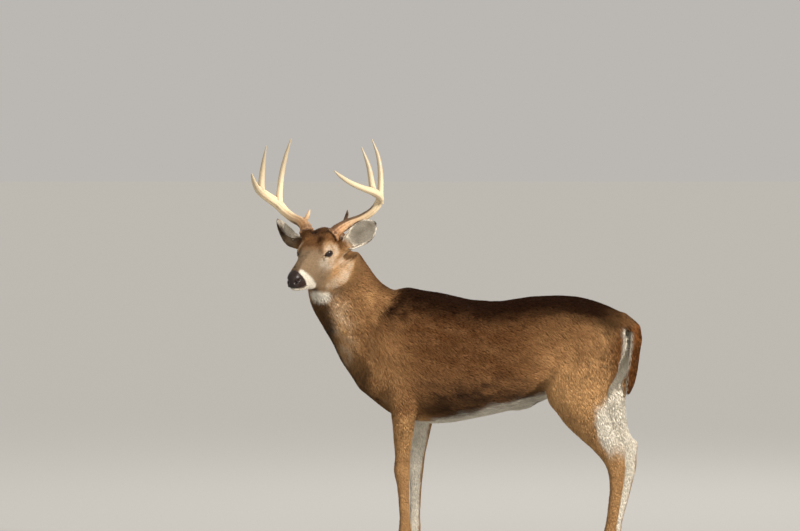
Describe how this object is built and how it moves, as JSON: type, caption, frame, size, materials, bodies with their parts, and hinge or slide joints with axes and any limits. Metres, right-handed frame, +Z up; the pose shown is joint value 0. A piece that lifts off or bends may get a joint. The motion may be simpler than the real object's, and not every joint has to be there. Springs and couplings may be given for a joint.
{
  "type": "white-tailed deer",
  "caption": "Life-size white-tailed buck in winter coat, standing with its head turned to its left, branched antlers raised.",
  "frame": {"origin": "middle of the footprint of the whole model, on the ground", "axes": "+Z up; the body faces -X and its left side faces -Y; the head is turned to face -Y"},
  "size_m": [1.3778, 0.5338, 1.4868],
  "materials": {
    "body_coat": "dense winter fur lying to the rear",
    "face_coat": "short flat fur",
    "leg_coat": "short flat fur",
    "tail_coat": "long loose fur",
    "antler_bone": "polished bone with ridges at the base",
    "hoof_horn": "worn horn",
    "eye_dark": "wet and glossy"
  },
  "bodies": {
    "root": {"antler_left_beam_low": "antler_bone", "antler_left_beam_mid": "antler_bone", "antler_left_beam_tip": "antler_bone", "antler_left_tine_brow": "antler_bone", "antler_left_tine_second": "antler_bone", "antler_left_tine_third": "antler_bone", "antler_right_beam_low": "antler_bone", "antler_right_beam_mid": "antler_bone", "antler_right_beam_tip": "antler_bone", "antler_right_tine_brow": "antler_bone", "antler_right_tine_second": "antler_bone", "antler_right_tine_third": "antler_bone", "ear_left": "face_coat", "ear_right": "face_coat", "eye_left": "eye_dark", "eye_right": "eye_dark", "head": "face_coat", "leg_front_left_dewclaw_inner": "hoof_horn", "leg_front_left_dewclaw_outer": "hoof_horn", "leg_front_left_hoof_inner": "hoof_horn", "leg_front_left_hoof_outer": "hoof_horn", "leg_front_left_lower": "leg_coat", "leg_front_left_upper": "leg_coat", "leg_front_right_dewclaw_inner": "hoof_horn", "leg_front_right_dewclaw_outer": "hoof_horn", "leg_front_right_hoof_inner": "hoof_horn", "leg_front_right_hoof_outer": "hoof_horn", "leg_front_right_lower": "leg_coat", "leg_front_right_upper": "leg_coat", "leg_hind_left_dewclaw_inner": "hoof_horn", "leg_hind_left_dewclaw_outer": "hoof_horn", "leg_hind_left_hoof_inner": "hoof_horn", "leg_hind_left_hoof_outer": "hoof_horn", "leg_hind_left_lower": "leg_coat", "leg_hind_left_upper": "leg_coat", "leg_hind_right_dewclaw_inner": "hoof_horn", "leg_hind_right_dewclaw_outer": "hoof_horn", "leg_hind_right_hoof_inner": "hoof_horn", "leg_hind_right_hoof_outer": "hoof_horn", "leg_hind_right_lower": "leg_coat", "leg_hind_right_upper": "leg_coat", "neck": "body_coat", "tail": "tail_coat", "trunk": "body_coat"}
  },
  "joints": []
}
